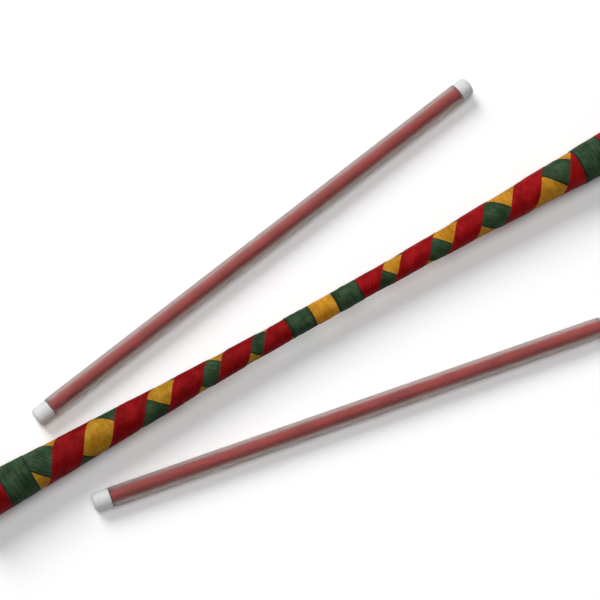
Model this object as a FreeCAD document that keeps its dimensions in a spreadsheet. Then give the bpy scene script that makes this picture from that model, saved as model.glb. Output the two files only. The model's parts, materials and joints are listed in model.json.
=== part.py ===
import FreeCAD, Part

import math
import os

import Sketcher

# Devil stick: a waisted centre stick wrapped in cloth tape, and the two hand sticks
# that it is played with.  Millimetres.
# +X runs along the centre stick, +Y is to its left, +Z is up.
# The origin is on the axis of the centre stick, at its balance point.

SIZES = {
    # centre stick: its tape surface is an arc at the waist and a straight cone beyond
    "waist_radius": 8.7,
    "bend_radius": 4008,
    "blend_x": 139,
    "shoulder_x": 316,
    "spigot_end_x": 324,
    "spigot_radius": 14,
    "end_x": 330,
    "bumper_radius": 19,
    "bumper_round": 3,
    # tape
    "tape_thickness": 0.3,
    "layer_gap": 0.08,
    # edges of the bands that go straight round the stick
    "centre_band_start": -11.2,
    "centre_band_end": 10,
    "rear_inner_edge": -33.2,
    "front_inner_edge": 33,
    "rear_wide_start": -293.2,
    "rear_wide_end": -268.2,
    "front_wide_start": 240.9,
    "front_wide_end": 265.9,
    "end_band_x": 315.5,
    # hand sticks
    "hand_length": 449.4,
    "dowel_radius": 5,
    "bore_radius": 5.8,
    "sleeve_radius": 8.25,
    "cap_radius": 8,
    "cap_round": 3.6,
    "butt_cap_length": 14.4,
    "tip_cap_length": 11.6,
    "cap_end_wall": 4,
    "left_butt_x": -244.3,
    "left_butt_y": 36.5,
    "left_angle": 8.7,
    "right_butt_x": -237.5,
    "right_butt_y": -44.7,
    "right_angle": -10.3,
}

# Where each turn of the two spiral tapes crosses the top of the stick, and how wide the
# tape is there along the stick.  The red tape winds left-handed, over the green tape,
# which winds right-handed.  They were wound by hand, so the turns are uneven.
SPIRALS = {
    "red_middle": [-289.5, -235, -179.5, -127, -82.5, -41.5, -1.5, 38.5, 84.7, 134.7, 189.8, 245.3, 302.2],
    "red_width": [29, 29, 29, 29, 28, 29, 29, 29, 30, 26.5, 28, 28, 28],
    "green_middle": [-333.5, -251.5, -172, -107.5, -58.5, -7, 46, 99.2, 156.2, 228.6, 300.1],
    "green_width": [33, 33.5, 34, 33, 28, 29, 28, 26, 30.5, 28, 28],
}
POINTS_PER_TURN = 12
WHOLE_TURN = 360.0

doc = FreeCAD.newDocument("devil_stick")
sheet = doc.addObject("Spreadsheet::Sheet", "sizes")
sub_parts = []


def fill_sheet():
    """Write one row per size: its name, its plain number and its alias."""
    rows = dict(SIZES)
    for name, values in SPIRALS.items():
        rows.update({f"{name}_{index}": value for index, value in enumerate(values)})
    for row, (name, value) in enumerate(rows.items(), start=1):
        sheet.set(f"A{row}", name)
        sheet.set(f"B{row}", str(value))
        sheet.setAlias(f"B{row}", name)
    doc.recompute()


def size(name):
    """The number in the sheet under this alias."""
    return float(sheet.get(name))


def turn_sizes(name):
    """The numbers in the sheet for every turn of a spiral tape."""
    return [size(f"{name}_{index}") for index in range(len(SPIRALS[name]))]


def cell(name):
    """The text that names a cell inside an expression."""
    return f"sizes.{name}"


def surface_text(x_text):
    """Expression for the radius of the tape surface at a distance along the stick."""
    inside = f"min(abs({x_text}); sizes.blend_x)"
    arc = f"sizes.waist_radius + sizes.bend_radius - sqrt(sizes.bend_radius^2 - {inside}^2)"
    slope = "sizes.blend_x / sqrt(sizes.bend_radius^2 - sizes.blend_x^2)"
    return f"{arc} + (abs({x_text}) - {inside}) * {slope}"


def surface_radius(x):
    """The same radius as a number."""
    bend = size("bend_radius")
    inside = min(abs(x), size("blend_x"))
    slope = size("blend_x") / math.sqrt(bend**2 - size("blend_x") ** 2)
    return size("waist_radius") + bend - math.sqrt(bend**2 - inside**2) + (abs(x) - inside) * slope


def layer_top(layer):
    """Expression for how deep a layer's outer face lies.  Red is 0, green 1, yellow 2."""
    return f"({layer} * (sizes.tape_thickness + sizes.layer_gap))"


def layer_bottom(layer):
    """Expression for how deep the layer's inner face lies."""
    return f"({layer_top(layer)} + sizes.tape_thickness)"


def new_body(label):
    """An empty PartDesign body that becomes one sub-part."""
    body = doc.addObject("PartDesign::Body", label)
    body.Label = label
    sub_parts.append(body)
    return body


def origin_plane(body, role):
    """One of the body's own origin planes or axes."""
    return next(item for item in body.Origin.OriginFeatures if item.Role == role)


def new_sketch(body, name, role):
    """A sketch on one of the body's own planes."""
    sketch = body.newObject("Sketcher::SketchObject", name)
    sketch.AttachmentSupport = [(origin_plane(body, role), "")]
    sketch.MapMode = "FlatFace"
    return sketch


def waist_arc(first, second, radius):
    """The arc between two points whose centre lies above them, drawn left to right."""
    left, right = sorted((first, second), key=lambda point: point.x)
    half = (right - left).Length / 2
    middle = (left + right) / 2
    centre = FreeCAD.Vector(middle.x, middle.y + math.sqrt(radius**2 - half**2), 0)
    swing = math.asin(half / radius)
    down = -math.pi / 2
    circle = Part.Circle(centre, FreeCAD.Vector(0, 0, 1), radius)
    return Part.ArcOfCircle(circle, down - swing, down + swing)


def outline(sketch, corners, arcs=()):
    """Close a loop through corners given as pairs of expressions.

    Edge i runs from corner i to the next one, and is a waist arc if i is in arcs.
    Every corner is held by expressions on the sheet.
    """
    points = []
    for x_text, y_text in corners:
        x = float(sketch.evalExpression(x_text))
        y = float(sketch.evalExpression(y_text))
        points.append(FreeCAD.Vector(x, y, 0))
    count = len(points)
    starts, ends = [], []
    for index in range(count):
        first, second = points[index], points[(index + 1) % count]
        if index in arcs:
            sketch.addGeometry(waist_arc(first, second, size("bend_radius")), False)
            radius = sketch.addConstraint(Sketcher.Constraint("Radius", index, size("bend_radius")))
            sketch.setExpression(f"Constraints[{radius}]", cell("bend_radius"))
            forward = first.x < second.x
        else:
            sketch.addGeometry(Part.LineSegment(first, second), False)
            forward = True
        starts.append(1 if forward else 2)
        ends.append(2 if forward else 1)
    for index in range(count):
        after = (index + 1) % count
        sketch.addConstraint(
            Sketcher.Constraint("Coincident", index, ends[index], after, starts[after])
        )
    for index, (x_text, y_text) in enumerate(corners):
        place = (index, starts[index])
        x_at = sketch.addConstraint(
            Sketcher.Constraint("DistanceX", -1, 1, *place, points[index].x)
        )
        sketch.setExpression(f"Constraints[{x_at}]", x_text)
        if y_text == "0":
            sketch.addConstraint(Sketcher.Constraint("PointOnObject", *place, -1))
        else:
            y_at = sketch.addConstraint(
                Sketcher.Constraint("DistanceY", -1, 1, *place, points[index].y)
            )
            sketch.setExpression(f"Constraints[{y_at}]", y_text)


def turned(label, corners, arcs=()):
    """A body turned about its X axis from a half outline."""
    body = new_body(label)
    sketch = new_sketch(body, f"{label}_outline", "XY_Plane")
    outline(sketch, corners, arcs)
    turn = body.newObject("PartDesign::Revolution", f"{label}_turned")
    turn.Profile = sketch
    turn.ReferenceAxis = (sketch, ["H_Axis"])
    turn.Angle = WHOLE_TURN
    return body


def profile_corners(low_x, high_x, depth):
    """The four points of the stick's outline between two x, at a depth below its surface."""
    blend = cell("blend_x")
    return [
        (x_text, f"{surface_text(x_text)} - {depth}")
        for x_text in (low_x, f"-{blend}", blend, high_x)
    ]


def core():
    """The turned wooden core: waisted, with a spigot at each end for the bumper."""
    shoulder = cell("shoulder_x")
    spigot = cell("spigot_end_x")
    radius = cell("spigot_radius")
    corners = [(f"-{spigot}", "0"), (f"-{spigot}", radius), (f"-{shoulder}", radius)]
    corners += profile_corners(f"-{shoulder}", shoulder, layer_bottom(2))
    corners += [(shoulder, radius), (spigot, radius), (spigot, "0")]
    turned("core", corners, arcs=[4])


def yellow_wrap():
    """The yellow tape under the spirals, which covers the whole core."""
    end = cell("end_band_x")
    outer = profile_corners(f"-{end}", end, layer_top(2))
    inner = profile_corners(f"-{end}", end, layer_bottom(2))
    turned("yellow_wrap", outer + inner[::-1], arcs=[1, 5])


def band(label, low_x, high_x):
    """Tape that goes straight round the stick over the spirals, between two x."""
    under = cell("layer_gap")
    over = f"{under} + {cell('tape_thickness')}"
    corners = [
        (low_x, f"{surface_text(low_x)} + {under}"),
        (low_x, f"{surface_text(low_x)} + {over}"),
        (high_x, f"{surface_text(high_x)} + {over}"),
        (high_x, f"{surface_text(high_x)} + {under}"),
    ]
    turned(label, corners)


def bands():
    """All the straight bands: three at the balance point and two near each end."""
    band("centre_band", cell("centre_band_start"), cell("centre_band_end"))
    band("rear_inner_band", cell("rear_inner_edge"), cell("centre_band_start"))
    band("front_inner_band", cell("centre_band_end"), cell("front_inner_edge"))
    band("rear_wide_band", cell("rear_wide_start"), cell("rear_wide_end"))
    band("front_wide_band", cell("front_wide_start"), cell("front_wide_end"))
    band("rear_end_band", f"-{cell('end_band_x')}", cell("rear_wide_start"))
    band("front_end_band", cell("front_wide_end"), cell("end_band_x"))


def along(turns, place):
    """Smooth position between the listed turns, at a place counted in turns."""
    low = min(max(int(math.floor(place)), 1), len(turns) - 3)
    part = place - low
    before, first, second, after = turns[low - 1 : low + 3]
    bend = 2 * before - 5 * first + 4 * second - after
    lift = 3 * first - before - 3 * second + after
    return first + 0.5 * part * (second - before + part * (bend + part * lift))


def spiral_edge(label, side, depth, hand, places):
    """One long edge of a spiral tape, through a point at each place.

    side is -0.5 on the tape's low-x edge and 0.5 on its high-x edge.
    """
    middles = turn_sizes(f"{label}_middle")
    widths = turn_sizes(f"{label}_width")
    points = []
    for place in places:
        x = along(middles, place) + side * along(widths, place)
        radius = surface_radius(x) - depth
        angle = hand * 2 * math.pi * place
        points.append(FreeCAD.Vector(x, radius * math.sin(angle), radius * math.cos(angle)))
    curve = Part.BSplineCurve()
    curve.interpolate(Points=points, Parameters=places)
    return curve


def ruled_face(first, second):
    """The face swept by straight lines between two curves that share their knots."""
    surface = Part.BSplineSurface()
    surface.buildFromPolesMultsKnots(
        [first.getPoles(), second.getPoles()],
        [2, 2],
        first.getMultiplicities(),
        [0, 1],
        first.getKnots(),
        False,
        False,
        1,
        first.Degree,
    )
    return surface.toShape()


def spiral(label, layer, hand, first, last):
    """One spiral tape: a strip between four long edges, from place first to last."""
    top = layer * (size("tape_thickness") + size("layer_gap"))
    bottom = top + size("tape_thickness")
    steps = int(round((last - first) * POINTS_PER_TURN))
    places = [first + (last - first) * step / steps for step in range(steps + 1)]
    ring = [(-0.5, top), (0.5, top), (0.5, bottom), (-0.5, bottom)]
    edges = [spiral_edge(label, side, depth, hand, places) for side, depth in ring]
    faces = [ruled_face(edges[index - 1], edges[index]) for index in range(4)]
    for end in ("StartPoint", "EndPoint"):
        corners = [getattr(edge, end) for edge in edges]
        faces.append(Part.Face(Part.makePolygon([*corners, corners[0]])))
    shell = Part.makeShell(faces)
    shell.sewShape()
    solid = Part.makeSolid(shell)
    if solid.Volume < 0:
        solid.reverse()
    piece = doc.addObject("Part::Feature", f"{label}_tape")
    piece.Shape = solid
    piece.Label = f"{label}_tape"
    sub_parts.append(piece)


def spirals():
    """The green tape and the red tape over it.  Their ends are tucked under the bands."""
    spiral("green", layer=1, hand=-1, first=0.5, last=9.5)
    spiral("red", layer=0, hand=1, first=0.27, last=11.4)


def bumper(label, side):
    """A rubber cup over the spigot, with a rounded outer rim."""
    shoulder = cell("shoulder_x")
    spigot = cell("spigot_end_x")
    end = cell("end_x")
    corners = [
        (f"{side} * {spigot}", "0"),
        (f"{side} * {spigot}", cell("spigot_radius")),
        (f"{side} * {shoulder}", cell("spigot_radius")),
        (f"{side} * {shoulder}", cell("bumper_radius")),
        (f"{side} * {end}", cell("bumper_radius")),
        (f"{side} * {end}", "0"),
    ]
    body = turned(label, corners)
    round_rim(body, "bumper_radius", side * size("end_x"), "bumper_round")


def round_rim(body, radius_name, x, round_name):
    """Round the circular edge of this radius that lies in the plane at x."""
    doc.recompute()
    last = body.Tip
    names = []
    for index, edge in enumerate(last.Shape.Edges, start=1):
        flat = abs(edge.BoundBox.XMin - x) + abs(edge.BoundBox.XMax - x) < 1e-3
        if flat and abs(edge.BoundBox.YLength - 2 * size(radius_name)) < 1e-3:
            names.append(f"Edge{index}")
    rim = body.newObject("PartDesign::Fillet", f"{body.Label}_rim")
    rim.Base = (last, names)
    rim.setExpression("Radius", cell(round_name))


def rod(label, radius_name, low_x, high_x, bore_name=None):
    """A straight round body along X between two x, with a bore if one is named."""
    body = new_body(label)
    sketch = new_sketch(body, f"{label}_circles", "YZ_Plane")
    for name in filter(None, (radius_name, bore_name)):
        circle = Part.Circle(FreeCAD.Vector(0, 0, 0), FreeCAD.Vector(0, 0, 1), size(name))
        index = sketch.addGeometry(circle, False)
        sketch.addConstraint(Sketcher.Constraint("Coincident", index, 3, -1, 1))
        held = sketch.addConstraint(Sketcher.Constraint("Radius", index, size(name)))
        sketch.setExpression(f"Constraints[{held}]", cell(name))
    sketch.setExpression("AttachmentOffset.Base.z", low_x)
    pad = body.newObject("PartDesign::Pad", f"{label}_pad")
    pad.Profile = sketch
    pad.setExpression("Length", f"{high_x} - ({low_x})")
    return body


def cap(label, rim, mouth, rim_x):
    """A white plastic cup over the dowel's end, from its rounded rim to its mouth."""
    towards = "+" if rim == "0" else "-"
    floor = f"{rim} {towards} {cell('cap_end_wall')}"
    corners = [
        (rim, "0"),
        (rim, cell("cap_radius")),
        (mouth, cell("cap_radius")),
        (mouth, cell("dowel_radius")),
        (floor, cell("dowel_radius")),
        (floor, "0"),
    ]
    body = turned(label, corners)
    round_rim(body, "cap_radius", rim_x, "cap_round")
    return body


def hand_stick(side):
    """A red dowel loose in a clear silicone sleeve, with a cap on each end, on the floor."""
    length = cell("hand_length")
    wall = cell("cap_end_wall")
    butt = cell("butt_cap_length")
    tip = f"{length} - {cell('tip_cap_length')}"
    pieces = [
        rod(f"{side}_dowel", "dowel_radius", wall, f"{length} - {wall}"),
        rod(f"{side}_sleeve", "sleeve_radius", butt, tip, bore_name="bore_radius"),
        cap(f"{side}_butt_cap", "0", butt, 0),
        cap(f"{side}_tip_cap", length, tip, size("hand_length")),
    ]
    for piece in pieces:
        piece.Placement.Rotation = FreeCAD.Rotation(FreeCAD.Vector(0, 0, 1), 0)
        piece.setExpression("Placement.Base.x", cell(f"{side}_butt_x"))
        piece.setExpression("Placement.Base.y", cell(f"{side}_butt_y"))
        piece.setExpression("Placement.Base.z", f"{cell('sleeve_radius')} - {cell('bumper_radius')}")
        piece.setExpression("Placement.Rotation.Angle", cell(f"{side}_angle"))


def check_document():
    """Stop if any object failed, or if a sub-part has no valid shape."""
    doc.recompute()
    for item in doc.Objects:
        if "Invalid" in item.State or "Error" in item.State:
            raise RuntimeError(f"{item.Label} failed: {item.State}")
    for piece in sub_parts:
        if piece.Shape.isNull() or not piece.Shape.isValid():
            raise RuntimeError(f"{piece.Label} has no valid shape")


def write_steps():
    """Write each sub-part to its own file."""
    os.makedirs("parts", exist_ok=True)
    for piece in sub_parts:
        box = piece.Shape.optimalBoundingBox()
        print(
            f"{piece.Label:18s} solids {len(piece.Shape.Solids)}  volume {piece.Shape.Volume:10.1f}"
            f"  x {box.XMin:8.2f} {box.XMax:8.2f}  y {box.YMin:8.2f} {box.YMax:8.2f}"
            f"  z {box.ZMin:7.2f} {box.ZMax:7.2f}"
        )
        piece.Shape.exportStep(f"parts/{piece.Label}.step")


fill_sheet()
core()
yellow_wrap()
spirals()
bands()
bumper("rear_bumper", -1)
bumper("front_bumper", 1)
hand_stick("left")
hand_stick("right")
check_document()
write_steps()
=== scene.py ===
import json
import math

import bpy
import numpy as np
from mathutils import Matrix, Vector, noise


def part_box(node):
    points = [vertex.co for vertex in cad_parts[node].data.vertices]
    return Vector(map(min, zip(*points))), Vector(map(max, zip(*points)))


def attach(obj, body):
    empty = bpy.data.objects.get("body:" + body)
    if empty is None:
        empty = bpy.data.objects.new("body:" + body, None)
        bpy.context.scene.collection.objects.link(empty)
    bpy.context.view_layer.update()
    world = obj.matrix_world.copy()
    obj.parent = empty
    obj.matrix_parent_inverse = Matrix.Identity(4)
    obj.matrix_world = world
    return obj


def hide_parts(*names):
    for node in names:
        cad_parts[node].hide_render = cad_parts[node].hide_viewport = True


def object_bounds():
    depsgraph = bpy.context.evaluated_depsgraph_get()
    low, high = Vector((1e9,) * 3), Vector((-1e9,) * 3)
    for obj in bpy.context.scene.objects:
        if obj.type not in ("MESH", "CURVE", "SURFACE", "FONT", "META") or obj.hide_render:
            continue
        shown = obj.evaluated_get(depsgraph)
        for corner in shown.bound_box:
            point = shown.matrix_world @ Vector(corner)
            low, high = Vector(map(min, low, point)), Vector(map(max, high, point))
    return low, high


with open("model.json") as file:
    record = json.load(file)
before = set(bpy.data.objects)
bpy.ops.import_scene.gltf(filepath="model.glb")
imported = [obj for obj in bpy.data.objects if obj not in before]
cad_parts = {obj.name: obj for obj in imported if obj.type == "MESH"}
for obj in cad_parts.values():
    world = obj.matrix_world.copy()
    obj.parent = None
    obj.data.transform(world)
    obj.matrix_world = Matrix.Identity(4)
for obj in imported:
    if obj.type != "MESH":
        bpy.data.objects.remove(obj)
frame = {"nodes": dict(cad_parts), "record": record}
cad_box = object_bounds()

# Shapes are worked out in mm and become metres when their points are made.
MM = 0.001
TURN = 2 * math.pi

# ---------------------------------------------------------------- driving sizes, in mm
# centre stick: an arc at the waist and a straight cone beyond, as in the CAD
WAIST_RADIUS = 8.7         # over one layer of spiral tape on the yellow tape
BEND_RADIUS = 4008.0
BLEND_X = 139.0            # where the arc meets the cone

# cloth tape
YELLOW_DEPTH = 0.28        # how far the yellow tape's surface lies under that radius
YELLOW_WALL = 0.25
TAPE = 0.27                # how thick one layer stands
TAPE_SINK = 0.05           # how far a tape's underside reaches into the yellow tape
SEAM = 1.1                 # how far a tape bridges the edge of one under it
EDGE_DROP = 0.13           # how far the very edge of a tape is rolled down
EDGE_ROLL = 0.15           # distance from the edge over which the roll fades
WAVER = 0.35               # how far a tape strays from its line
DENT = 0.10                # how deep the dents of hand winding are

# where each turn of a spiral crosses the top of the stick, and its width along the stick
RED_MIDDLES = [-289.5, -235, -179.5, -127, -82.5, -41.5, -1.5, 38.5, 84.7, 134.7, 189.8, 245.3, 302.2]
RED_WIDTHS = [29, 29, 29, 29, 28, 29, 29, 29, 30, 26.5, 28, 28, 28]
GREEN_MIDDLES = [-333.5, -251.5, -172, -107.5, -58.5, -7, 46, 99.2, 156.2, 228.6, 300.1]
GREEN_WIDTHS = [33, 33.5, 34, 33, 28, 29, 28, 26, 30.5, 28, 28]

# where each spiral starts and ends, counted in turns from the first one in its list
RED_RANGE = (0.27, 11.4)
GREEN_RANGE = (0.5, 9.5)

# which way each spiral goes over the top as it runs towards +X: 1 is towards +Y
RED_HAND = 1
GREEN_HAND = -1

# order of the tapes from the inside out, over the yellow one
GREEN_LAYER = 1
RED_LAYER = 2
BAND_LAYER = 3

# bands: angles are in radians, 0 at the top and growing towards +Y
BAND_START = 2.6           # where the under end begins
BAND_OVERLAP = 0.8         # how far the upper end passes it
LAP_LEAD = 0.06            # how far before the under end the upper one starts to climb
LAP_CLIMB = 0.09
CREASES = {"rear_wide_band": -284.0, "front_wide_band": 256.5, "front_end_band": 291.0}
CREASE_DEPTH = 0.22
CREASE_WIDTH = 0.7
CREASE_FADE_FROM = -0.2    # angle at which the crease starts to fade
CREASE_FADE_OVER = 0.9
STEP_HEIGHT = 0.10         # of the second turn, on the rear side of the crease
STEP_WIDTH = 1.5

# hand sticks
SLEEVE_RADIUS = 8.25
BORE_RADIUS = 5.8
DOWEL_RADIUS = 5.0
CAP_RADIUS = 8.0
CAP_ROUND = 3.6
CAP_END_WALL = 4.0
BUTT_CAP_LENGTH = 14.4
TIP_CAP_LENGTH = 11.6
FIT_GAP = 0.02
LEAN_ASIDE = 0.62          # how far the dowel lies off centre in the loose bore
LEAN_UP = -0.20
LEAN_REACH = 2             # how far inside the caps the dowel starts to lean
LEAN_LENGTH = 12

# ---------------------------------------------------------------- light, in metres and degrees
FLOOR_REACH = 6
LIGHT_AZIMUTH = 98
# name, height above the horizon, width in the sky, strength
SUNS = [("key", 38, 31, 2.66), ("top", 86, 34, 1.36)]
DOME_STRENGTH = 0.11

# half the length, in metres, over which the dye of the tapes drifts
DRIFT_REACH = 0.33


# ---------------------------------------------------------------- shapes of the wrapped stick
def surface_radius(x):
    """Radius of the stick over one layer of spiral tape, in mm, at x along the stick."""
    inside = np.minimum(np.abs(x), BLEND_X)
    slope = BLEND_X / math.sqrt(BEND_RADIUS**2 - BLEND_X**2)
    arc = WAIST_RADIUS + BEND_RADIUS - np.sqrt(BEND_RADIUS**2 - inside**2)
    return arc + (np.abs(x) - inside) * slope


def yellow_radius(x):
    """Radius of the yellow tape's surface, in mm."""
    return surface_radius(x) - YELLOW_DEPTH


def wrap(angle):
    """The same angle, from -pi to pi."""
    return (angle + math.pi) % TURN - math.pi


def along(turns, place):
    """Smooth value between the listed turns, at places counted in turns."""
    turns = np.asarray(turns, float)
    place = np.asarray(place, float)
    low = np.clip(np.floor(place).astype(int), 1, len(turns) - 3)
    part = place - low
    before, first, second, after = (turns[low + step] for step in (-1, 0, 1, 2))
    bend = 2 * before - 5 * first + 4 * second - after
    lift = 3 * first - before - 3 * second + after
    return first + 0.5 * part * (second - before + part * (bend + part * lift))


def smooth(value):
    """0 below 0, 1 above 1 and smooth between."""
    value = np.clip(value, 0, 1)
    return value * value * (3 - 2 * value)


def spiral_cover(x, angle, middles, widths, hand, limits):
    """How far a spiral tape covers the points (x, angle): 1 on it, 0 off it."""
    angle = wrap(angle)
    cover = np.zeros(np.broadcast(x, angle).shape)
    for turn in range(-1, len(middles) + 1):
        place = hand * angle / TURN + turn
        inside = (place > limits[0]) & (place < limits[1])
        distance = along(widths, place) / 2 - np.abs(x - along(middles, place))
        cover = np.maximum(cover, np.where(inside, smooth(0.5 + distance / SEAM), 0))
    return cover


def green_cover(x, angle):
    """How far the green spiral covers the points: 1 on it, 0 off it."""
    return spiral_cover(x, angle, GREEN_MIDDLES, GREEN_WIDTHS, GREEN_HAND, GREEN_RANGE)


def red_cover(x, angle):
    """How far the red spiral covers the points: 1 on it, 0 off it."""
    return spiral_cover(x, angle, RED_MIDDLES, RED_WIDTHS, RED_HAND, RED_RANGE)


def height_under(x, angle, layer):
    """Radius of what a tape of this layer lies on, in mm."""
    height = yellow_radius(x)
    if layer > GREEN_LAYER:
        height = height + TAPE * green_cover(x, angle)
    if layer > RED_LAYER:
        height = height + TAPE * red_cover(x, angle)
    return height


def unevenness(x, angle, radius, seed, amount, scale):
    """Gentle dents and swells of hand-wound tape, in mm."""
    spots = [np.broadcast_to(grid, x.shape).ravel() for grid in (x, angle, radius)]
    values = [
        noise.noise(Vector((a * scale, r * math.sin(b) * scale, r * math.cos(b) * scale + seed)))
        for a, b, r in zip(*spots)
    ]
    return amount * np.array(values).reshape(x.shape)


def waver(spots):
    """How far a tape strays along the stick at each spot, in mm, as a column."""
    return WAVER * np.array([[noise.noise(Vector(spot)) for spot in spots]]).T


def across_steps(columns):
    """Positions across a tape, from 0 to 1, with an extra one close to each edge."""
    first = 0.008
    second = 0.03
    inner = second + (1 - 2 * second) * np.linspace(0, 1, columns - 4)
    return np.concatenate([[0, first], inner, [1 - first, 1]])


def rolled_edge(distance):
    """How much the surface drops at a distance from a tape's edge, both in mm."""
    return EDGE_DROP * np.exp(-distance / EDGE_ROLL)


# ---------------------------------------------------------------- mesh building
def to_points(x, angle, radius):
    """Points in metres round the X axis; angle 0 is the top and grows towards +Y."""
    return np.stack([x, radius * np.sin(angle), radius * np.cos(angle)], axis=-1) * MM


def enclosed_volume(mesh):
    """Volume inside a closed mesh, negative where its faces look inwards."""
    mesh.calc_loop_triangles()
    spots = np.zeros(len(mesh.vertices) * 3)
    mesh.vertices.foreach_get("co", spots)
    corners = np.zeros(len(mesh.loop_triangles) * 3, int)
    mesh.loop_triangles.foreach_get("vertices", corners)
    first, second, third = spots.reshape(-1, 3)[corners.reshape(-1, 3)].transpose(1, 0, 2)
    return float((np.cross(first, second) * third).sum()) / 6


def new_piece(name, points, faces, uvs, edge=None):
    """A mesh object, with one UV pair a point and, on tape, one edge distance a point."""
    mesh = bpy.data.meshes.new(name)
    mesh.from_pydata([tuple(p) for p in points], [], faces)
    layer = mesh.uv_layers.new(name="UVMap")
    loops = np.zeros(len(mesh.loops), int)
    mesh.loops.foreach_get("vertex_index", loops)
    layer.data.foreach_set("uv", np.asarray(uvs, float)[loops].ravel())
    if edge is not None:
        attribute = mesh.attributes.new("edge", "FLOAT", "POINT")
        attribute.data.foreach_set("value", np.asarray(edge, float))
    mesh.validate()
    if enclosed_volume(mesh) < 0:
        mesh.flip_normals()
    mesh.shade_smooth()
    piece = bpy.data.objects.new(name, mesh)
    bpy.context.scene.collection.objects.link(piece)
    return piece


def grid_faces(rows, columns, start=0, flip=False, closed=False):
    """Quads of a grid stored row by row; closed joins its last row to its first."""
    faces = []
    for row in range(rows if closed else rows - 1):
        after = (row + 1) % rows
        for column in range(columns - 1):
            a = start + row * columns + column
            b = start + after * columns + column
            quad = (a, a + 1, b + 1, b)
            faces.append(quad[::-1] if flip else quad)
    return faces


def tape_piece(name, x, angle, top, bottom, across, length, edge):
    """A closed strip of tape.  All inputs are grids: a row along the tape, a column across.

    top and bottom are radii, across and length place its weave, and edge is the distance
    to the nearer edge, all in mm.
    """
    rows, columns = x.shape
    upper = to_points(x, angle, top).reshape(-1, 3)
    ends = [0, columns - 1]
    lower = to_points(x[:, ends], angle[:, ends], bottom[:, ends]).reshape(-1, 3)
    count = len(upper)
    faces = grid_faces(rows, columns)
    faces += grid_faces(rows, 2, start=count, flip=True)
    for row in range(rows - 1):
        a, b = row * columns, (row + 1) * columns
        c, d = count + 2 * row, count + 2 * (row + 1)
        faces.append((a, b, d, c))
        faces.append((b + columns - 1, a + columns - 1, c + 1, d + 1))
    last = (rows - 1) * columns
    faces.append((*range(0, columns)[::-1], count, count + 1))
    faces.append((*range(last, last + columns), count + 2 * rows - 1, count + 2 * rows - 2))
    uvs = np.concatenate(
        [
            np.stack([across, length], -1).reshape(-1, 2),
            np.stack([across[:, ends], length[:, ends]], -1).reshape(-1, 2),
        ]
    )
    edges = np.concatenate([edge.ravel(), np.zeros(2 * rows)])
    return new_piece(name, np.concatenate([upper, lower]), faces, uvs, edges)


def spiral_tape(name, middles, widths, hand, limits, layer, seed):
    """A spiral tape that drapes over what lies under it."""
    per_turn = 90
    columns = 17
    rate = 2.3
    rows = int((limits[1] - limits[0]) * per_turn) + 1
    place = np.linspace(*limits, rows)[:, None]
    share = across_steps(columns)[None, :]
    width = along(widths, place)
    strays = waver([(p * rate, seed, 0) for p in place[:, 0]])
    x = along(middles, place) + (share - 0.5) * width + strays
    angle = hand * TURN * place + 0 * share
    distance = np.minimum(share, 1 - share) * width
    top = height_under(x, angle, layer) + TAPE - rolled_edge(distance)
    top = top + unevenness(x, angle, top, seed, amount=DENT, scale=0.11)
    bottom = yellow_radius(x) - TAPE_SINK
    middle = x[:, columns // 2]
    steps = np.hypot(np.diff(middle), surface_radius(middle[1:]) * TURN / per_turn)
    length = np.cumsum(np.concatenate([[0], steps]))[:, None] + 0 * x
    return tape_piece(name, x, angle, top, bottom, share * width, length, distance)


def band_edge(turn, seed):
    """How far one edge of a band strays along the stick, in mm, as the band goes round.

    The spots lie on a circle, so the edge comes back to its line after a whole turn.
    """
    circle = 1.2
    return waver([(math.cos(t) * circle, math.sin(t) * circle, seed) for t in turn[:, 0]])


def band_tape(name, low, high, seed, crease=None):
    """Tape wound straight round, once and a bit: its end lies over its beginning.

    crease is the x at which the edge of a second turn shows.
    """
    per_turn = 110
    columns = 25
    rows = int(per_turn * (1 + BAND_OVERLAP / TURN)) + 1
    turn = np.linspace(0, TURN + BAND_OVERLAP, rows)[:, None]
    share = across_steps(columns)[None, :]
    low_edge = low + band_edge(turn, seed)
    high_edge = high + band_edge(turn, seed + 9)
    x = low_edge * (1 - share) + high_edge * share
    angle = BAND_START + turn + 0 * share
    wrapped = wrap(angle)
    distance = np.minimum(share, 1 - share) * (high - low)
    lap = smooth((turn - TURN + LAP_LEAD) / LAP_CLIMB)
    top = height_under(x, wrapped, BAND_LAYER) + TAPE * (1 + lap) - rolled_edge(distance)
    if crease is not None:
        depth = CREASE_DEPTH * np.exp(-(((x - crease) / CREASE_WIDTH) ** 2))
        shown = 1 - smooth((wrapped - CREASE_FADE_FROM) / CREASE_FADE_OVER)
        top = top - depth * shown + STEP_HEIGHT * smooth((crease - x) / STEP_WIDTH)
    top = top + unevenness(x, angle, top, seed, amount=DENT, scale=0.12)
    bottom = yellow_radius(x) - TAPE_SINK
    length = surface_radius(x) * turn
    across = share * (high - low) + 0 * turn
    return tape_piece(name, x, angle, top, bottom, across, length, distance + 0 * turn)


def ring_faces(rings, segments, closed):
    """Quads between the rings of a turned shape; closed joins its last ring to its first."""
    faces = []
    for ring in range(rings if closed else rings - 1):
        here = ring * segments
        there = (ring + 1) % rings * segments
        for k in range(segments):
            m = (k + 1) % segments
            faces.append((here + k, here + m, there + m, there + k))
    return faces


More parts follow.
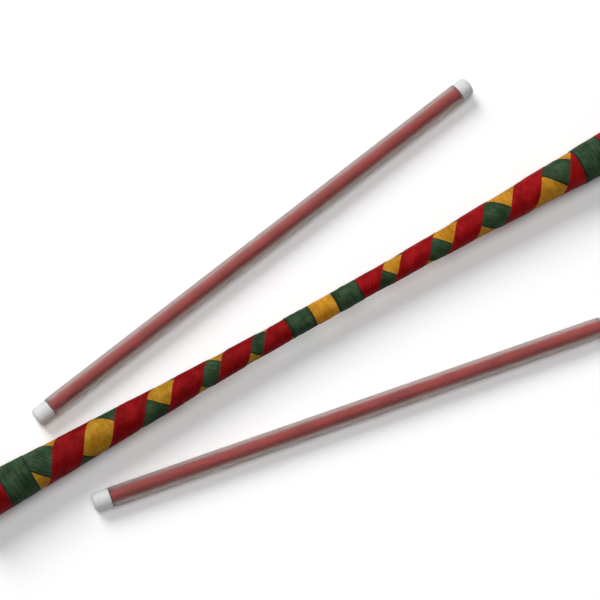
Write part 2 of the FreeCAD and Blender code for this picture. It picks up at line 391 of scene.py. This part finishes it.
def lathe(name, outline, segments, place, shift=None):
    """A closed solid of revolution about X, put in its place by a matrix.

    The outline is (x, radius) pairs in mm.  It starts and ends on the axis, or else it is
    the closed section of a tube.  shift gives how far the axis lies off centre at x, in mm.
    """
    on_axis = outline[0][1] == 0 and outline[-1][1] == 0
    rings = outline[1:-1] if on_axis else outline
    runs = [0.0]
    for first, second in zip(rings, rings[1:]):
        runs.append(runs[-1] + math.hypot(second[0] - first[0], second[1] - first[1]))
    points = []
    for x, radius in rings:
        aside, above = shift(x) if shift else (0.0, 0.0)
        for index in range(segments):
            a = TURN * index / segments
            y, z = radius * math.sin(a) + aside, radius * math.cos(a) + above
            points.append((x * MM, y * MM, z * MM))
    uvs = [(runs[i // segments], (i % segments) / segments) for i in range(len(points))]
    faces = ring_faces(len(rings), segments, not on_axis)
    if on_axis:
        start, end = len(points), len(points) + 1
        last_ring = (len(rings) - 1) * segments
        points.append((outline[0][0] * MM, 0, 0))
        points.append((outline[-1][0] * MM, 0, 0))
        uvs += [(0, 0), (runs[-1], 0)]
        for k in range(segments):
            m = (k + 1) % segments
            faces.append((start, m, k))
            faces.append((end, last_ring + k, last_ring + m))
    return new_piece(name, [tuple(place @ Vector(p)) for p in points], faces, uvs)


def round_corner(x, radius, size, turn_from, turn_to, steps):
    """Points of a quarter circle about (x, radius), between two angles in degrees."""
    out = []
    for step in range(steps + 1):
        a = math.radians(turn_from + (turn_to - turn_from) * step / steps)
        out.append((x + size * math.cos(a), radius + size * math.sin(a)))
    return out


# ---------------------------------------------------------------- materials
# a Mix node's sockets for colours, which share their names with its other sockets
MIX_SHARE, MIX_FIRST, MIX_SECOND = 0, 6, 7
MIX_RESULT = 2


def grey(value):
    """A neutral colour."""
    return value, value, value


class Nodes:
    """Short forms for building a material's node tree."""

    def __init__(self, name):
        self.material = bpy.data.materials.new(name)
        self.material.use_nodes = True
        self.tree = self.material.node_tree
        self.shader = self.tree.nodes["Principled BSDF"]

    def add(self, kind, **settings):
        """A new node, with its properties set."""
        node = self.tree.nodes.new(kind)
        for key, value in settings.items():
            setattr(node, key, value)
        return node

    def link(self, source, target):
        """Join an output to an input."""
        self.tree.links.new(source, target)

    def put(self, socket, value):
        """Set a socket to a number or a colour, or link an output to it."""
        if isinstance(value, (int, float)):
            socket.default_value = value
        elif isinstance(value, tuple):
            socket.default_value = (*value, 1)
        else:
            self.link(value, socket)

    def coordinates(self, output, scale=(1, 1, 1)):
        """Texture coordinates: UV is in mm on the tape, Object is in metres."""
        source = self.add("ShaderNodeTexCoord").outputs[output]
        mapping = self.add("ShaderNodeMapping")
        mapping.inputs["Scale"].default_value = scale
        self.link(source, mapping.inputs["Vector"])
        return mapping.outputs["Vector"]

    def noise(self, vector, scale, detail, rough):
        """Cloudy noise from 0 to 1."""
        node = self.add("ShaderNodeTexNoise")
        node.inputs["Scale"].default_value = scale
        node.inputs["Detail"].default_value = detail
        node.inputs["Roughness"].default_value = rough
        self.link(vector, node.inputs["Vector"])
        return node.outputs["Fac"]

    def wave(self, vector, scale, direction, distort):
        """Even bands across one direction, from 0 to 1."""
        node = self.add("ShaderNodeTexWave", wave_type="BANDS", bands_direction=direction)
        node.inputs["Scale"].default_value = scale
        node.inputs["Distortion"].default_value = distort
        node.inputs["Detail"].default_value = 1.0
        self.link(vector, node.inputs["Vector"])
        return node.outputs["Fac"]

    def ramp(self, value, stops):
        """Colour by value, from (position, colour) stops."""
        node = self.add("ShaderNodeValToRGB")
        points = node.color_ramp.elements
        while len(points) < len(stops):
            points.new(0.5)
        for point, (position, colour) in zip(points, stops):
            point.position = position
            point.color = (*colour, 1)
        self.link(value, node.inputs["Fac"])
        return node.outputs["Color"]

    def span(self, value, low, high, to_low, to_high):
        """The value, moved from the range low to high to another range."""
        node = self.add("ShaderNodeMapRange")
        for key, number in zip(("From Min", "From Max", "To Min", "To Max"), (low, high, to_low, to_high)):
            node.inputs[key].default_value = number
        self.link(value, node.inputs["Value"])
        return node.outputs["Result"]

    def math(self, kind, first, second):
        """One sum on two values."""
        node = self.add("ShaderNodeMath", operation=kind)
        self.put(node.inputs[0], first)
        self.put(node.inputs[1], second)
        return node.outputs[0]

    def mix(self, share, first, second, blend="MIX"):
        """Two colours mixed, or blended another way."""
        node = self.add("ShaderNodeMix", data_type="RGBA", blend_type=blend)
        self.put(node.inputs[MIX_SHARE], share)
        self.put(node.inputs[MIX_FIRST], first)
        self.put(node.inputs[MIX_SECOND], second)
        return node.outputs[MIX_RESULT]

    def bump(self, height, distance, strength, normal=None):
        """A normal for relief of this height in metres, over another normal."""
        node = self.add("ShaderNodeBump")
        node.inputs["Distance"].default_value = distance
        node.inputs["Strength"].default_value = strength
        self.link(height, node.inputs["Height"])
        if normal is not None:
            self.link(normal, node.inputs["Normal"])
        return node.outputs["Normal"]

    def finish(self, colour, roughness, normal):
        """Link the three outputs that every material varies, and return the material."""
        self.link(colour, self.shader.inputs["Base Color"])
        self.link(roughness, self.shader.inputs["Roughness"])
        self.link(normal, self.shader.inputs["Normal"])
        return self.material


def cloth_tape(name, tones, edge_colour, edge_width, edge_strength, along_stick):
    """Woven cloth tape: streaks of thread along it, soft patches and an edge in another colour.

    tones are its dark, middle and light colours.  The edge colour fades over edge_width,
    in mm; where it is darker than the tape it is painted shade along the tape's edges.  along_stick lists how
    its dye drifts, as (x in m, colour factor) pairs.
    """
    nodes = Nodes(name)
    along_tape = nodes.coordinates("UV", scale=(0.52, 0.05, 1))
    fine_along_tape = nodes.coordinates("UV", scale=(2.4, 0.16, 1))
    streaks = nodes.noise(along_tape, scale=1.0, detail=3.0, rough=0.65)
    fine = nodes.noise(fine_along_tape, scale=1.0, detail=2.0, rough=0.6)
    patches = nodes.noise(nodes.coordinates("Object"), scale=105.0, detail=3.0, rough=0.55)
    streak_share, patch_share, fine_share = 0.30, 0.42, 0.28
    tone = nodes.math(
        "ADD",
        nodes.math("MULTIPLY", streaks, streak_share),
        nodes.math("MULTIPLY", patches, patch_share),
    )
    tone = nodes.math("ADD", tone, nodes.math("MULTIPLY", fine, fine_share))
    dark, middle, light = tones
    colour = nodes.ramp(tone, [(0.40, dark), (0.50, middle), (0.60, light)])

    # painted shade: near a tape's edge the colour is mixed towards edge_colour, over a ragged width (darker
    # on the green and yellow tapes, a little lighter on the red one)
    edge = nodes.add("ShaderNodeAttribute", attribute_name="edge").outputs["Fac"]
    ragged_width = 1.2
    ragged = nodes.math("MULTIPLY", nodes.math("SUBTRACT", patches, 0.5), ragged_width)
    ragged_edge_distance = nodes.math("ADD", edge, ragged)
    share = nodes.span(ragged_edge_distance, low=0.0, high=edge_width, to_low=edge_strength, to_high=0.0)
    colour = nodes.mix(share, colour, edge_colour)

    split = nodes.add("ShaderNodeSeparateXYZ")
    nodes.link(nodes.coordinates("Object"), split.inputs["Vector"])
    place = nodes.span(split.outputs["X"], low=-DRIFT_REACH, high=DRIFT_REACH, to_low=0.0, to_high=1.0)
    stops = [((x + DRIFT_REACH) / (2 * DRIFT_REACH), factor) for x, factor in along_stick]
    colour = nodes.mix(1.0, colour, nodes.ramp(place, stops), "MULTIPLY")

    threads = nodes.coordinates("UV")
    warp = nodes.wave(threads, scale=0.55, direction="X", distort=0.6)
    weft = nodes.wave(threads, scale=0.50, direction="Y", distort=0.6)
    normal = nodes.bump(nodes.math("MULTIPLY", warp, weft), distance=0.00006, strength=0.5)
    normal = nodes.bump(streaks, distance=0.0005, strength=0.7, normal=normal)
    normal = nodes.bump(patches, distance=0.0016, strength=0.6, normal=normal)
    normal = nodes.bump(fine, distance=0.0002, strength=0.7, normal=normal)
    nodes.shader.inputs["Specular IOR Level"].default_value = 0.04
    roughness = nodes.span(streaks, low=0.3, high=0.7, to_low=0.46, to_high=0.64)
    return nodes.finish(colour, roughness, normal)


def rubber_material():
    """Moulded black rubber with grey scuffs."""
    nodes = Nodes("bumper_rubber")
    where = nodes.coordinates("Object")
    grain = nodes.noise(where, scale=900.0, detail=3.0, rough=0.6)
    scuff = nodes.noise(where, scale=120.0, detail=5.0, rough=0.65)
    stops = [
        (0.35, (0.012, 0.012, 0.013)),
        (0.55, (0.02, 0.02, 0.021)),
        (0.78, (0.055, 0.053, 0.05)),
    ]
    roughness = nodes.span(scuff, low=0.3, high=0.7, to_low=0.45, to_high=0.75)
    normal = nodes.bump(grain, distance=0.0001, strength=0.35)
    return nodes.finish(nodes.ramp(scuff, stops), roughness, normal)


def wood_material():
    """Turned hardwood with grain along the stick."""
    nodes = Nodes("turned_wood")
    along_stick = nodes.coordinates("Object", scale=(6, 220, 220))
    grain = nodes.noise(along_stick, scale=1.0, detail=6.0, rough=0.6)
    stops = [
        (0.3, (0.42, 0.26, 0.13)),
        (0.55, (0.62, 0.43, 0.25)),
        (0.75, (0.72, 0.54, 0.34)),
    ]
    roughness = nodes.span(grain, low=0.3, high=0.7, to_low=0.5, to_high=0.7)
    normal = nodes.bump(grain, distance=0.0002, strength=0.4)
    return nodes.finish(nodes.ramp(grain, stops), roughness, normal)


def dowel_material():
    """Red stained dowel, blotchy where the stain took unevenly."""
    nodes = Nodes("painted_dowel")
    along_stick = nodes.coordinates("Object", scale=(12, 400, 400))
    blotch = nodes.noise(nodes.coordinates("Object"), scale=70.0, detail=3.0, rough=0.55)
    grain = nodes.noise(along_stick, scale=1.0, detail=4.0, rough=0.6)
    blotch_share, grain_share = 0.6, 0.4
    tone = nodes.math(
        "ADD",
        nodes.math("MULTIPLY", blotch, blotch_share),
        nodes.math("MULTIPLY", grain, grain_share),
    )
    stops = [
        (0.38, (0.60, 0.009, 0.013)),
        (0.5, (0.68, 0.013, 0.019)),
        (0.62, (0.74, 0.020, 0.027)),
    ]
    roughness = nodes.span(grain, low=0.3, high=0.7, to_low=0.35, to_high=0.55)
    normal = nodes.bump(grain, distance=0.0001, strength=0.3)
    return nodes.finish(nodes.ramp(tone, stops), roughness, normal)


def silicone_material():
    """Frosted clear silicone, a little cloudy along its length."""
    nodes = Nodes("clear_silicone")
    where = nodes.coordinates("Object")
    cloud = nodes.noise(where, scale=70.0, detail=3.0, rough=0.5)
    grain = nodes.noise(where, scale=900.0, detail=2.0, rough=0.5)
    stops = [(0.35, (0.655, 0.565, 0.53)), (0.65, (0.685, 0.595, 0.56))]
    nodes.shader.inputs["IOR"].default_value = 1.41
    nodes.shader.inputs["Specular IOR Level"].default_value = 0.12
    nodes.shader.inputs["Specular Tint"].default_value = (*grey(0.1), 1.0)
    nodes.shader.inputs["Transmission Weight"].default_value = 0.95
    roughness = nodes.span(cloud, low=0.3, high=0.7, to_low=0.37, to_high=0.42)
    normal = nodes.bump(grain, distance=0.00003, strength=0.3)
    return nodes.finish(nodes.ramp(cloud, stops), roughness, normal)


def cap_material():
    """White moulded plastic with faint grey handling marks."""
    nodes = Nodes("white_cap")
    where = nodes.coordinates("Object")
    cloud = nodes.noise(where, scale=140.0, detail=4.0, rough=0.6)
    grain = nodes.noise(where, scale=1500.0, detail=2.0, rough=0.5)
    stops = [(0.3, grey(0.52)), (0.6, grey(0.58)), (0.8, grey(0.62))]
    nodes.shader.inputs["Specular IOR Level"].default_value = 0.3
    roughness = nodes.span(cloud, low=0.3, high=0.7, to_low=0.48, to_high=0.62)
    normal = nodes.bump(grain, distance=0.00005, strength=0.3)
    return nodes.finish(nodes.ramp(cloud, stops), roughness, normal)


MATERIALS = {
    "red_tape": cloth_tape(
        "red_tape",
        tones=[(0.13, 0.0015, 0.002), (0.19, 0.0025, 0.0035), (0.25, 0.006, 0.008)],
        edge_colour=(0.24, 0.008, 0.012),
        edge_width=1.2,
        edge_strength=0.5,
        along_stick=[(-0.05, (0.95, 0.9, 0.9)), (0.03, (1.22, 1.1, 1.15))],
    ),
    "green_tape": cloth_tape(
        "green_tape",
        tones=[(0.012, 0.028, 0.011), (0.024, 0.049, 0.022), (0.041, 0.075, 0.038)],
        # painted shade: a darker teal along the green tape's edges
        edge_colour=(0.005, 0.012, 0.012),
        edge_width=2.3,
        edge_strength=0.95,
        along_stick=[(-0.05, (0.95, 0.96, 0.95)), (0.03, (0.98, 0.99, 0.97))],
    ),
    "yellow_tape": cloth_tape(
        "yellow_tape",
        tones=[(0.35, 0.135, 0.005), (0.46, 0.20, 0.012), (0.56, 0.28, 0.026)],
        # painted shade: a darker brown along the yellow tape's edges
        edge_colour=(0.24, 0.10, 0.012),
        edge_width=1.0,
        edge_strength=0.5,
        along_stick=[
            (-0.05, (0.72, 0.80, 0.88)),
            (-0.02, (0.98, 0.99, 0.97)),
            (0.02, (0.98, 0.99, 0.97)),
            (0.05, (0.86, 0.87, 0.9)),
        ],
    ),
    "bumper_rubber": rubber_material(),
    "turned_wood": wood_material(),
    "painted_dowel": dowel_material(),
    "clear_silicone": silicone_material(),
    "white_cap": cap_material(),
}


def dress(piece, slot):
    """Give a piece the material that bears the name of a slot in the record."""
    piece.data.materials.clear()
    piece.data.materials.append(MATERIALS[slot])


def finish_piece(piece, body, slot, node):
    """Dress the piece, let it ride on its body and stand for its CAD node."""
    dress(piece, slot)
    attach(piece, body)
    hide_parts(node)


# ---------------------------------------------------------------- the centre stick
def node_span(node):
    """Lowest and highest x of a CAD node, in mm."""
    low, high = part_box(node)
    return low.x / MM, high.x / MM


def yellow_wrap():
    """The yellow tape that shows between the spirals, as one closed skin."""
    low, high = node_span("yellow_wrap")
    columns, around, inside_columns = 520, 72, 60
    x = np.linspace(low, high, columns)[None, :] + np.zeros((around, 1))
    angle = np.linspace(0, TURN, around, endpoint=False)[:, None] + 0 * x
    top = yellow_radius(x)
    top = top + unevenness(x, angle, top, seed=3.0, amount=0.08, scale=0.10)
    upper = to_points(x, angle, top).reshape(-1, 3)
    picked = np.unique(np.linspace(0, columns - 1, inside_columns).astype(int))
    inner = len(picked)
    lower = to_points(x[:, picked], angle[:, picked], top[:, picked] - YELLOW_WALL).reshape(-1, 3)
    faces = grid_faces(around, columns, closed=True)
    count = around * columns
    faces += grid_faces(around, inner, start=count, flip=True, closed=True)
    for row in range(around):
        after = (row + 1) % around
        a, b = row * columns, after * columns
        c, d = count + row * inner, count + after * inner
        faces.append((a, b, d, c))
        faces.append((b + columns - 1, a + columns - 1, c + inner - 1, d + inner - 1))
    length = angle * surface_radius(x)
    uvs = np.concatenate([np.stack([x, length], -1).reshape(-1, 2), np.zeros((inner * around, 2))])
    far_from_edge = np.full(len(uvs), 9.0)
    points = np.concatenate([upper, lower])
    piece = new_piece("yellow_wrap_cloth", points, faces, uvs, far_from_edge)
    finish_piece(piece, "centre_stick", "yellow_tape", "yellow_wrap")


def spirals():
    """The green spiral, and the red one over it."""
    green = spiral_tape(
        "green_tape_cloth", GREEN_MIDDLES, GREEN_WIDTHS, GREEN_HAND, GREEN_RANGE, GREEN_LAYER, seed=11.0
    )
    finish_piece(green, "centre_stick", "green_tape", "green_tape")
    red = spiral_tape(
        "red_tape_cloth", RED_MIDDLES, RED_WIDTHS, RED_HAND, RED_RANGE, RED_LAYER, seed=23.0
    )
    finish_piece(red, "centre_stick", "red_tape", "red_tape")


def bands():
    """The tapes that go straight round; some show where a second turn starts."""
    slots = {
        "centre_band": "yellow_tape",
        "rear_inner_band": "green_tape",
        "front_inner_band": "green_tape",
        "rear_wide_band": "green_tape",
        "front_wide_band": "green_tape",
        "rear_end_band": "red_tape",
        "front_end_band": "red_tape",
    }
    for index, (node, slot) in enumerate(slots.items()):
        low, high = node_span(node)
        seed = 31.0 + 5 * index
        piece = band_tape(f"{node}_cloth", low, high, seed, CREASES.get(node))
        finish_piece(piece, "centre_stick", slot, node)


def groove_outline(middle, radius):
    """A rounded V groove in the rim of a bumper."""
    half, waist, shallow, deep = 0.55, 0.35, 0.18, 0.5
    return [
        (middle - half, radius),
        (middle - waist, radius - shallow),
        (middle, radius - deep),
        (middle + waist, radius - shallow),
        (middle + half, radius),
    ]


def bumpers():
    """Rubber bumpers with a rounded lip, two grooves and a rounded rim.

    They are solid here: the end of the stick inside them is out of sight.
    """
    lip = 0.8
    rim = 3.0
    grooves = (4.2, 7.0)
    for node, side in (("rear_bumper", -1), ("front_bumper", 1)):
        low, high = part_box(node)
        radius = high.y / MM
        near, far = sorted((abs(low.x) / MM, abs(high.x) / MM))
        outline = [(near, 0), (near, radius - 2 * lip)]
        outline += round_corner(near + lip, radius - lip, lip, 180, 90, steps=6)
        for distance in grooves:
            outline += groove_outline(near + distance, radius)
        outline += round_corner(far - rim, radius - rim, rim, 90, 0, steps=10)
        outline += [(far, radius - 2 * rim), (far, 0)]
        turn = Matrix.Identity(4) if side > 0 else Matrix.Rotation(math.pi, 4, "Z")
        piece = lathe(f"{node}_moulding", outline, segments=96, place=turn)
        finish_piece(piece, "centre_stick", "bumper_rubber", node)


# ---------------------------------------------------------------- the hand sticks
def stick_place(side):
    """Where the middle of a hand stick's sleeve is and which way the stick runs, as a
    matrix, and the sleeve's length in mm, all from its CAD mount."""
    mount = next(m for m in frame["record"]["mounts"] if m["name"] == f"{side}_shaft")
    middle, axis = Vector(mount["pos_m"]), Vector(mount["axis"]).normalized()
    turn = Matrix.Rotation(math.atan2(axis.y, axis.x), 4, "Z")
    return Matrix.Translation(middle) @ turn, mount["dims"]["length_mm"]


def swell(x, height, rate, seeds):
    """How far a surface stands out at x, in mm."""
    return height * noise.noise(Vector((x * rate, *seeds)))


def sleeve_tube(side, place, half):
    """Silicone tube with a bore that is loose on the dowel."""
    soft = 0.45
    inset = 0.02
    steps = 90
    outline = [(-half, BORE_RADIUS)]
    outline += round_corner(-half + soft, SLEEVE_RADIUS - soft, soft, 180, 90, steps=5)
    for step in range(1, steps):
        x = -half + soft + (2 * half - 2 * soft) * step / steps
        stands = swell(x, height=0.012, rate=0.016, seeds=(len(side), 0))
        outline.append((x, SLEEVE_RADIUS - inset + stands))
    outline += round_corner(half - soft, SLEEVE_RADIUS - soft, soft, 90, 0, steps=5)
    outline += [(half - 2 * half * step / steps, BORE_RADIUS) for step in range(steps)]
    piece = lathe(f"{side}_sleeve_tube", outline, segments=96, place=place)
    finish_piece(piece, f"{side}_hand_stick", "clear_silicone", f"{side}_sleeve")


def dowel_rod(side, place, start, end, half):
    """Red dowel that leans to one side of the bore between the caps."""
    low, high = start + CAP_END_WALL, end - CAP_END_WALL
    chamfer = 0.4
    steps = 90
    rod = [(low, 0), (low, DOWEL_RADIUS - chamfer), (low + chamfer, DOWEL_RADIUS)]
    for step in range(1, steps):
        x = low + chamfer + (high - low - 2 * chamfer) * step / steps
        rod.append((x, DOWEL_RADIUS + swell(x, height=0.03, rate=0.03, seeds=(5.0, len(side)))))
    rod += [(high - chamfer, DOWEL_RADIUS), (high, DOWEL_RADIUS - chamfer), (high, 0)]

    def lean(x):
        loose = float(smooth((half - abs(x) + LEAN_REACH) / LEAN_LENGTH))
        return LEAN_ASIDE * loose, LEAN_UP * loose

    piece = lathe(f"{side}_dowel_rod", rod, segments=64, place=place, shift=lean)
    finish_piece(piece, f"{side}_hand_stick", "painted_dowel", f"{side}_dowel")


def end_cap(side, end_name, place, rim, mouth):
    """White cap with a well rounded end and a small round at its mouth."""
    out = 1 if rim > mouth else -1
    small = 0.35
    flat = CAP_RADIUS - CAP_ROUND
    inner_ring = flat * 0.6
    bore = DOWEL_RADIUS + FIT_GAP
    floor_x = rim - out * CAP_END_WALL
    turn_from, turn_to = (180, 90) if out < 0 else (0, 90)
    cap = [(rim, 0), (rim, inner_ring)]
    cap += round_corner(rim - out * CAP_ROUND, flat, CAP_ROUND, turn_from, turn_to, steps=12)
    mouth_to = 180 if out > 0 else 0
    cap += round_corner(mouth + out * small, CAP_RADIUS - small, small, 90, mouth_to, steps=4)
    cap += [(mouth, bore), (floor_x, bore), (floor_x, 0)]
    piece = lathe(f"{side}_{end_name}_cap_moulding", cap, segments=72, place=place)
    finish_piece(piece, f"{side}_hand_stick", "white_cap", f"{side}_{end_name}_cap")


def hand_stick(side):
    """Dowel, sleeve and two caps, built about the middle of the sleeve."""
    place, sleeve_length = stick_place(side)
    half = sleeve_length / 2
    start, end = -half - BUTT_CAP_LENGTH, half + TIP_CAP_LENGTH
    sleeve_tube(side, place, half)
    dowel_rod(side, place, start, end, half)
    end_cap(side, "butt", place, start, -half)
    end_cap(side, "tip", place, end, half)


# ---------------------------------------------------------------- stage, light and camera
def floor():
    """A plain white floor at the height that the sticks lie on."""
    level = cad_box[0].z
    reach = FLOOR_REACH
    corners = [(-reach, -reach, level), (reach, -reach, level), (reach, reach, level), (-reach, reach, level)]
    mesh = bpy.data.meshes.new("floor")
    mesh.from_pydata(corners, [], [(0, 1, 2, 3)])
    ground = bpy.data.objects.new("floor", mesh)
    bpy.context.scene.collection.objects.link(ground)
    nodes = Nodes("floor_white")
    nodes.shader.inputs["Base Color"].default_value = (*grey(0.95), 1)
    nodes.shader.inputs["Roughness"].default_value = 0.9
    nodes.shader.inputs["Specular IOR Level"].default_value = 0.0
    ground.data.materials.append(nodes.material)


def lights():
    """Two wide soft suns on the +Y side, one low and one nearly overhead, and a dim dome."""
    world = bpy.data.worlds.new("studio")
    world.use_nodes = True
    world.node_tree.nodes["Background"].inputs["Color"].default_value = (1, 1, 1, 1)
    world.node_tree.nodes["Background"].inputs["Strength"].default_value = DOME_STRENGTH
    bpy.context.scene.world = world
    for name, elevation, spread, power in SUNS:
        sun = bpy.data.lights.new(name, "SUN")
        sun.energy = power
        sun.angle = math.radians(spread)
        lamp = bpy.data.objects.new(name, sun)
        around, above = math.radians(LIGHT_AZIMUTH), math.radians(elevation)
        towards = Vector(
            (math.cos(around) * math.cos(above), math.sin(around) * math.cos(above), math.sin(above))
        )
        lamp.rotation_mode = "QUATERNION"
        lamp.rotation_quaternion = towards.to_track_quat("Z", "Y")
        bpy.context.scene.collection.objects.link(lamp)


def camera():
    """A long lens nearly overhead, tipped a little along the stick and rolled."""
    place = Vector((-0.2746, -0.130, 1.880))
    target = Vector((-0.013193, 0.015950, 0.0))
    roll = math.radians(29.784)
    view = (target - place).normalized()
    right = view.cross(Vector((0, 1, 0))).normalized()
    up = right.cross(view)
    image_right = right * math.cos(roll) - up * math.sin(roll)
    image_up = right * math.sin(roll) + up * math.cos(roll)
    data = bpy.data.cameras.new("camera")
    data.sensor_width = 36.0
    data.lens = 141.4
    data.clip_end = 50
    shot = bpy.data.objects.new("camera", data)
    turn = Matrix((image_right, image_up, -view)).transposed().to_4x4()
    shot.matrix_world = Matrix.Translation(place) @ turn
    bpy.context.scene.collection.objects.link(shot)
    bpy.context.scene.camera = shot


bpy.context.scene.view_settings.view_transform = "Standard"
yellow_wrap()
spirals()
bands()
bumpers()
hand_stick("left")
hand_stick("right")
dress(frame["nodes"]["core"], "turned_wood")
floor()
lights()
camera()
